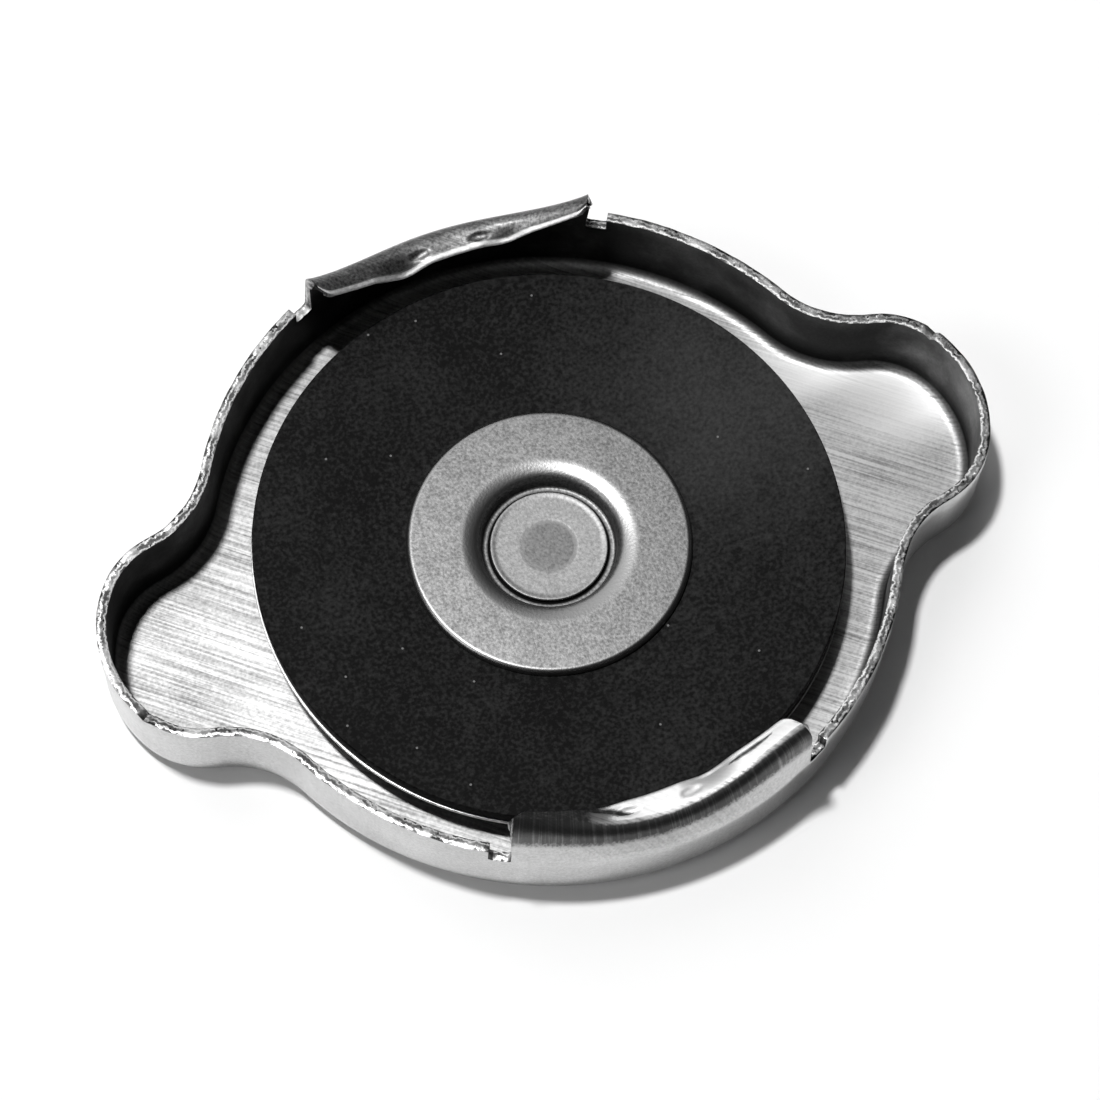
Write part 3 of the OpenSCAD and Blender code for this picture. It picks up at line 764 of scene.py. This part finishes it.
# Painted shade: a dark ring in the seam round the rivet's head.
painted_seam_shade = add_node(tree, "ShaderNodeMix", {
    FACTOR: ring["clear"], COLOUR_A: linear("#0C0C0C"), COLOUR_B: tone.outputs[0],
}, data_type="RGBA")
below = add_node(tree, "ShaderNodeMath", {0: 1.0, 1: ring["dip"]}, operation="SUBTRACT")
shoulder = add_node(tree, "ShaderNodeMath", {0: below.outputs[0], 1: ring["above"]}, operation="MULTIPLY")
polish_and_painted_glint = add_node(tree, "ShaderNodeMath", {
    0: shoulder.outputs[0], 1: ring["border"],
}, operation="ADD").outputs[0]
# The polished rings are glossier, and their paler tone is partly a painted highlight.
washer_with_painted_light = add_node(tree, "ShaderNodeMix", {
    FACTOR: polish_and_painted_glint, COLOUR_A: painted_seam_shade.outputs[MIXED_COLOUR], COLOUR_B: linear("#8E8E8E"),
}, data_type="RGBA")
gloss = add_node(tree, "ShaderNodeMapRange", {"Value": polish_and_painted_glint, "To Min": 0.46, "To Max": 0.33})
relief = add_node(tree, "ShaderNodeBump", {"Height": grain, "Strength": 0.4, "Distance": 0.03 * MM})
wire(tree, shader, {
    "Metallic": 1.0, "Base Color": washer_with_painted_light.outputs[MIXED_COLOUR],
    "Roughness": gloss.outputs[0], "Normal": relief.outputs[0],
})

# %% [markdown]
# ## Flattened rivet steel
# The rivet's head was flattened by a smooth die, so it is a shade brighter than the washer, and the punch
# left a round in its middle. The round is drawn by tone as well as by the section, because a step of a few
# hundredths of a millimetre is too low to show by its shade alone.

# %% Flattened rivet steel
# To the eye: smooth pale grey, with a darker round of 5 mm in the middle.
ROUND_EDGE = (0.0022, 0.0027)  # metres
pressed, tree, shader, place = begin("flattened_rivet_steel")
flat = add_node(tree, "ShaderNodeMapping", {"Vector": place, "Scale": (1, 1, 0)})
radius = add_node(tree, "ShaderNodeVectorMath", {0: flat.outputs[0]}, operation="LENGTH")
outer = add_node(tree, "ShaderNodeMapRange", {
    "Value": radius.outputs["Value"], "From Min": ROUND_EDGE[0], "From Max": ROUND_EDGE[1],
})
grain = add_node(tree, "ShaderNodeTexNoise", {
    "Vector": place, "Scale": per_metre(0.25), "Detail": 2.0,
}).outputs["Fac"]
coarse = add_node(tree, "ShaderNodeMath", {0: grain, 1: 0.6}, operation="MULTIPLY")
shade = add_node(tree, "ShaderNodeMath", {
    0: outer.outputs[0], 1: 0.4, 2: coarse.outputs[0],
}, operation="MULTIPLY_ADD")
tone = add_node(tree, "ShaderNodeValToRGB", {"Fac": shade.outputs[0]}, (
    (0.15, "#565656"), (0.42, "#747474"), (0.56, "#747474"), (0.86, "#969696"),
))
relief = add_node(tree, "ShaderNodeBump", {"Height": grain, "Strength": 0.3, "Distance": 0.03 * MM})
wire(tree, shader, {
    "Metallic": 1.0, "Roughness": 0.47, "Base Color": tone.outputs[0], "Normal": relief.outputs[0],
})

# %% [markdown]
# ## Rolled spring steel
# The disc shows only its edge and the ring below it: hard rolled sheet, with fine lines along the rolling.
# The same stretched noise as on the shell does it, without the clouds.

# %% Rolled spring steel
# To the eye: smooth and bright, with straight lines of 0.29 mm.
ROLLED_SCALE = (per_metre(12.5), per_metre(0.286), per_metre(12.5))
spring, tree, shader, place = begin("rolled_spring_steel")
long_way = add_node(tree, "ShaderNodeMapping", {"Vector": place, "Scale": ROLLED_SCALE})
rolled = add_node(tree, "ShaderNodeTexNoise", {"Vector": long_way.outputs[0], "Scale": 1.0, "Detail": 3.0})
tone = add_node(
    tree, "ShaderNodeValToRGB", {"Fac": rolled.outputs["Fac"]}, ((0.3, "#A2A2A2"), (0.7, "#D8D8D8")),
)
wire(tree, shader, {"Metallic": 1.0, "Roughness": 0.28, "Base Color": tone.outputs[0]})

# %% [markdown]
# ## Thickness of the shell
# Solidify gives the outside surface its thickness inwards, and a small bevel takes the knife edge off. The
# faces that Solidify lays along the cut take the second material, the bare sheared steel, because no zinc
# covers a cut that was made after plating. The marks that steer the zinc are written afterwards, because
# each point of the thick sheet takes them from the nearest point of the thin one.

# %% Solidify and bevel the shell
EASE, EASE_FROM, SHELL_SHARP = 0.1, 55, 45  # mm, then degrees
for finish in (zinc, sheared):
    shell.data.materials.append(finish)
wall = shell.modifiers.new("sheet", "SOLIDIFY")
wall.thickness, wall.offset = SHEET_T * MM, -1.0
wall.use_even_offset, wall.use_quality_normals = False, True
wall.material_offset_rim = 1
eased = shell.modifiers.new("eased edge", "BEVEL")
eased.width, eased.segments = EASE * MM, 2
eased.limit_method, eased.angle_limit = "ANGLE", math.radians(EASE_FROM)
bake(shell, SHELL_SHARP)

# %% Marks on the shell's points
SKIN, CORE = 0.14, 0.72  # shares of the thickness
outside = kdtree.KDTree(len(used))
for n, v in enumerate(used):
    outside.insert(points[v] * MM, n)
outside.balance()
nearest = [outside.find(v.co) for v in shell.data.vertices]
origin = [used[n] for spot, n, distance in nearest]
deep = [distance / (SHEET_T * MM) for spot, n, distance in nearest]
through = [climb(d, SKIN, CORE) for d in deep]
# The marks are the depth through the sheet, the painted shade and highlight on the lugs, and the painted
# light on one ear's floor.
marks = {
    "through": through,
    "painted_lug_shading": [painted_lug_shading[v] for v in origin],
    "painted_floor_light": [painted_floor_light[v] * share for v, share in zip(origin, through)],
}
for name, amounts in marks.items():
    shell.data.attributes.new(name, "FLOAT", "POINT").data.foreach_set("value", amounts)
print("depth through the sheet:", round(min(deep), 2), "to", round(max(deep), 2))
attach(shell, "shell")
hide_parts("cap_shell")

# %% [markdown]
# ## Burrs along the cut
# Shearing leaves crumbs of torn metal along the rim and at the foot of each slit. They follow a path and
# no two are alike, which is work for Geometry Nodes: points along the path, a random choice of them, and
# a squashed crumb on each.

# %% The path of the cut
path_points, path_edges = [], []
for i, kind in enumerate(kinds):
    j = (i + 1) % len(kinds)
    if kind == "lug" or kinds[j] != kind:
        continue
    edge_row = per_column - 1 if kind == "rim" else foot_row
    for n in (i, j):
        inward = level_ray(outline[n][2]) * SHEET_T / 2
        path_points.append(points[n * per_column + edge_row] - inward)
    path_edges.append((len(path_points) - 2, len(path_points) - 1))
burrs = mesh_object("rim_burrs", path_points, [], path_edges)
print("path of the cut:", len(path_edges), "pieces")

# %% The burr tree
# A random value keeps an output for each kind of value: a vector is the first, a choice the fourth.
VECTOR, CHOICE = 0, 3
TURN_MOST = (6.28, 6.28, 6.28)
STREW_LEAST, STREW_MOST = (-0.0003, -0.0003, -0.00005), (0.0003, 0.0003, 0.00004)  # metres
scatter, given, scatter_labels = new_tree("crumbs along a cut", {
    "Path": "Geometry", "Share kept": "Float", "Smallest": "Float", "Largest": "Float",
    "Seed": "Int", "Finish": "Material",
}, "Crumbs")
spots = add_node(scatter, "GeometryNodeMeshToPoints", {"Mesh": given["Path"]}, mode="EDGES")
kept = add_node(scatter, "FunctionNodeRandomValue", {
    "Probability": given["Share kept"], "Seed": given["Seed"],
}, data_type="BOOLEAN")
smallest, largest = [
    add_node(scatter, "ShaderNodeCombineXYZ", {i: given[label] for i in range(3)}).outputs[0]
    for label in ("Smallest", "Largest")
]
sizes, turns, strew = [
    add_node(
        scatter, "FunctionNodeRandomValue", {0: least, 1: most, "Seed": given["Seed"]},
        data_type="FLOAT_VECTOR",
    ).outputs[VECTOR]
    for least, most in ((smallest, largest), ((0, 0, 0), TURN_MOST), (STREW_LEAST, STREW_MOST))
]
strewn = add_node(scatter, "GeometryNodeSetPosition", {"Geometry": spots.outputs[0], "Offset": strew})
crumb = add_node(scatter, "GeometryNodeMeshIcoSphere", {"Radius": 1.0, "Subdivisions": 1})
laid = add_node(scatter, "GeometryNodeInstanceOnPoints", {
    "Points": strewn.outputs[0], "Selection": kept.outputs[CHOICE], "Instance": crumb.outputs["Mesh"],
    "Rotation": turns, "Scale": sizes,
})
end_tree(scatter, laid.outputs[0], given["Finish"], "Crumbs")

# %% Strew the burrs
BURR_SHARP = 60  # degrees
run_tree(burrs, scatter, scatter_labels, {
    "Share kept": 0.3, "Smallest": 0.00004, "Largest": 0.00014, "Seed": 8, "Finish": sheared,
})
bake(burrs, BURR_SHARP)
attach(burrs, "shell")

# %% [markdown]
# ## The seal and the rivet
# Each section is drawn point by point, anticlockwise, with its corners eased so that they catch the light.
# The disc rises to its rim like a shallow plate. The gasket follows it and lies flat under the washer. The
# washer dips in the middle to clamp the gasket and to take the rivet's head.

# %% Helpers for sections
ON_AXIS = 0.001
EDGE_PART = 2.2


def eased_corners(corners, radius):
    """Section with every corner cut by a small arc of about the given radius, never past half an edge."""
    made = []
    for i, corner in enumerate(corners):
        here, before, after = Vector(corner), Vector(corners[i - 1]), Vector(corners[(i + 1) % len(corners)])
        cut = min(radius, (before - here).length / EDGE_PART, (after - here).length / EDGE_PART)
        if here.x < ON_AXIS or (before.x < ON_AXIS and after.x < ON_AXIS):
            made.append(here)
            continue
        first = here + (before - here).normalized() * cut
        last = here + (after - here).normalized() * cut
        for t in (0, 1 / 3, 2 / 3, 1):
            made.append(first * (1 - t) ** 2 + here * 2 * t * (1 - t) + last * t ** 2)
    return [(p.x, 0.0, p.y) for p in made]


def bow(centre, radius, start, end, count):
    """Points along an arc of a section, from one angle to another."""
    angles = [math.radians(start + (end - start) * i / (count - 1)) for i in range(count)]
    return [(centre[0] + radius * math.cos(a), centre[1] + radius * math.sin(a)) for a in angles]


print("a quarter arc of 3 points:", [[round(c, 2) for c in p] for p in bow((0, 0), 1, 0, 90, 3)])

# %% Sections of the turned pieces
disc_section = [(2.56, 1.7), (8.0, 1.7), (27.2, 3.6), (27.2, 4.05), (8.0, 2.15), (2.56, 2.15)]
gasket_section = [(7.8, 2.15), (8.45, 2.19), (27.05, 4.035), (27.05, 5.585), (13.5, 4.05), (7.8, 4.05)]
dish_wall = [
    (8.2, 4.85), (7.9, 4.838), (7.6, 4.80), (7.3, 4.745), (7.0, 4.67), (6.75, 4.585),
    (6.55, 4.47), (6.4, 4.3), (6.3, 4.05), (6.24, 3.75), (6.2, 3.35),
]
washer_section = (
    [(2.56, 2.15)] + bow((5.9, 3.25), 1.1, -90, 0, 7) + bow((7.7, 3.35), 0.7, 180, 90, 5)
    + [(13.1, 4.05)] + bow((12.6, 4.35), 0.5, 0, 90, 7)
    + dish_wall + bow((5.9, 3.25), 0.3, 0, -90, 5) + [(2.56, 2.95)]
)
rivet_section = [
    (0.0, 0.15), (3.85, 0.15), (4.5, 0.8), (2.5, 0.8), (2.5, 3.0), (5.4, 3.0), (5.4, 3.45),
    (5.2, 3.45), (4.95, 3.41), (4.8, 3.40), (2.75, 3.395), (2.6, 3.385), (2.4, 3.38), (0.0, 3.38),
]
print("section points:", [len(s) for s in (disc_section, gasket_section, washer_section, rivet_section)])

# %% Turn the sections
STEPS_ROUND, TURNED_SHARP = 160, 35
TURNED = (
    ("dished_disc", disc_section, 0.1, spring, "seal", "spring_disc", "spring_steel"),
    ("rubber_gasket", gasket_section, 0.22, rubber, "seal", "sealing_gasket", "black_rubber"),
    ("dished_washer", washer_section, 0.16, satin, "seal", "retaining_washer", "satin_steel"),
    ("flat_rivet", rivet_section, 0.34, pressed, "shell", "centre_rivet", "rivet_steel"),
)
for name, corners, ease, finish, body, node, slot in TURNED:
    section = eased_corners(corners, ease)
    loop = [(i, (i + 1) % len(section)) for i in range(len(section))]
    piece = mesh_object(name, section, [], loop)
    run_tree(piece, turning, turning_labels, {"Steps round": STEPS_ROUND, "Finish": finish})
    bake(piece, TURNED_SHARP)
    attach(piece, body)
    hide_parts(node)

# %% [markdown]
# ## Floor, light and camera
# The cap lies on white paper. Polished metal shows what is round it more than its own colour: the flats
# mirror a lamp high at the left and a pale panel on the far side, the rounded edges a bright panel at the
# near left and the pale foot of the sky, and the inner walls the darkness over the camera.

# %% White floor
# To the eye: clean white paper with a faint fibre of 1 mm.
FLOOR_HALF, FLOOR_Z = 1500, -0.04
paper, tree, shader, place = begin("white_paper")
fibre = add_node(tree, "ShaderNodeTexNoise", {"Vector": place, "Scale": per_metre(1.11), "Detail": 2.0})
relief = add_node(tree, "ShaderNodeBump", {
    "Height": fibre.outputs["Fac"], "Strength": 0.03, "Distance": 0.1 * MM,
})
wire(tree, shader, {
    "Metallic": 0.0, "Roughness": 0.9, "Base Color": linear("#FBFBFB"), "Normal": relief.outputs[0],
})
floor_corners = [
    (side * FLOOR_HALF, depth * FLOOR_HALF, FLOOR_Z) for side, depth in ((-1, -1), (1, -1), (1, 1), (-1, 1))
]
floor = mesh_object("paper_floor", floor_corners, [(0, 1, 2, 3)])
floor.data.materials.append(paper)
print(floor.name)

# %% Sky with two soft panels
AZIMUTH, ELEVATION, ROLL = math.radians(-23.0), math.radians(66.6), math.radians(3.6)
forward = Vector((-math.sin(AZIMUTH), math.cos(AZIMUTH), 0))
right = Vector((math.cos(AZIMUTH), math.sin(AZIMUTH), 0))
up = Vector((0, 0, 1))
PANELS = (  # direction, half angles of the panel's border and of its even middle in degrees, strength
    (forward * 0.61 - right * 0.35 + up * 0.71, 30, 12, 1.4),
    (-forward * 0.40 - right * 0.64 + up * 0.64, 19, 8, 3.2),
)
world = bpy.data.worlds.new("studio_sky")
bpy.context.scene.world = world
world.use_nodes = True
tree = world.node_tree
aim = add_node(tree, "ShaderNodeTexCoord").outputs["Generated"]
height = add_node(tree, "ShaderNodeSeparateXYZ", {0: aim})
strength = add_node(tree, "ShaderNodeMapRange", {
    "Value": height.outputs["Z"], "From Min": 0.05, "From Max": 0.35, "To Min": 0.4, "To Max": 0.02,
}, interpolation_type="SMOOTHSTEP").outputs[0]
for middle, border, core, most in PANELS:
    near = add_node(tree, "ShaderNodeVectorMath", {0: aim, 1: middle.normalized()}, operation="DOT_PRODUCT")
    glow = add_node(tree, "ShaderNodeMapRange", {
        "Value": near.outputs["Value"], "From Min": math.cos(math.radians(border)),
        "From Max": math.cos(math.radians(core)), "To Max": most,
    }, interpolation_type="SMOOTHSTEP")
    strength = add_node(tree, "ShaderNodeMath", {0: strength, 1: glow.outputs[0]}, operation="ADD").outputs[0]
wire(tree, tree.nodes["Background"], {"Color": (1, 1, 1, 1), "Strength": strength})
print(world.name, "with", len(PANELS), "panels")

# %% Lamp high at the left
LAMP_FAR, LAMP_SIZE, LAMP_POWER = 0.8, 0.07, 5.1  # metres, metres, watts
toward_lamp = forward * 0.08 - right * 0.22 + up
lamp = bpy.data.lights.new("soft_lamp", "AREA")
lamp.shape, lamp.size, lamp.energy = "DISK", LAMP_SIZE, LAMP_POWER
lamp_object = bpy.data.objects.new("soft_lamp", lamp)
bpy.context.scene.collection.objects.link(lamp_object)
lamp_object.location = toward_lamp.normalized() * LAMP_FAR
lamp_object.rotation_euler = toward_lamp.to_track_quat("Z", "Y").to_euler()
print(lamp.name, "at", [round(c, 3) for c in lamp_object.location])

# %% Camera at the photo's angle
FRAME_PX, SHIFT_PX = 1100, (1.9, 10.4)
CAMERA_FAR = 0.3  # metres
lens = bpy.data.cameras.new("photo_camera")
lens.lens, lens.sensor_width = 106.1, 36.0
lens.shift_x, lens.shift_y = SHIFT_PX[0] / FRAME_PX, SHIFT_PX[1] / FRAME_PX
camera = bpy.data.objects.new("photo_camera", lens)
bpy.context.scene.collection.objects.link(camera)
back = up * math.sin(ELEVATION) - forward * math.cos(ELEVATION)
camera.location = back * CAMERA_FAR
camera.rotation_mode = "QUATERNION"
camera.rotation_quaternion = (-back).to_track_quat("-Z", "Y") @ Quaternion((0, 0, 1), ROLL)
bpy.context.scene.camera = camera
bpy.context.scene.view_settings.view_transform = "Standard"
print("camera at", [round(c, 3) for c in camera.location])
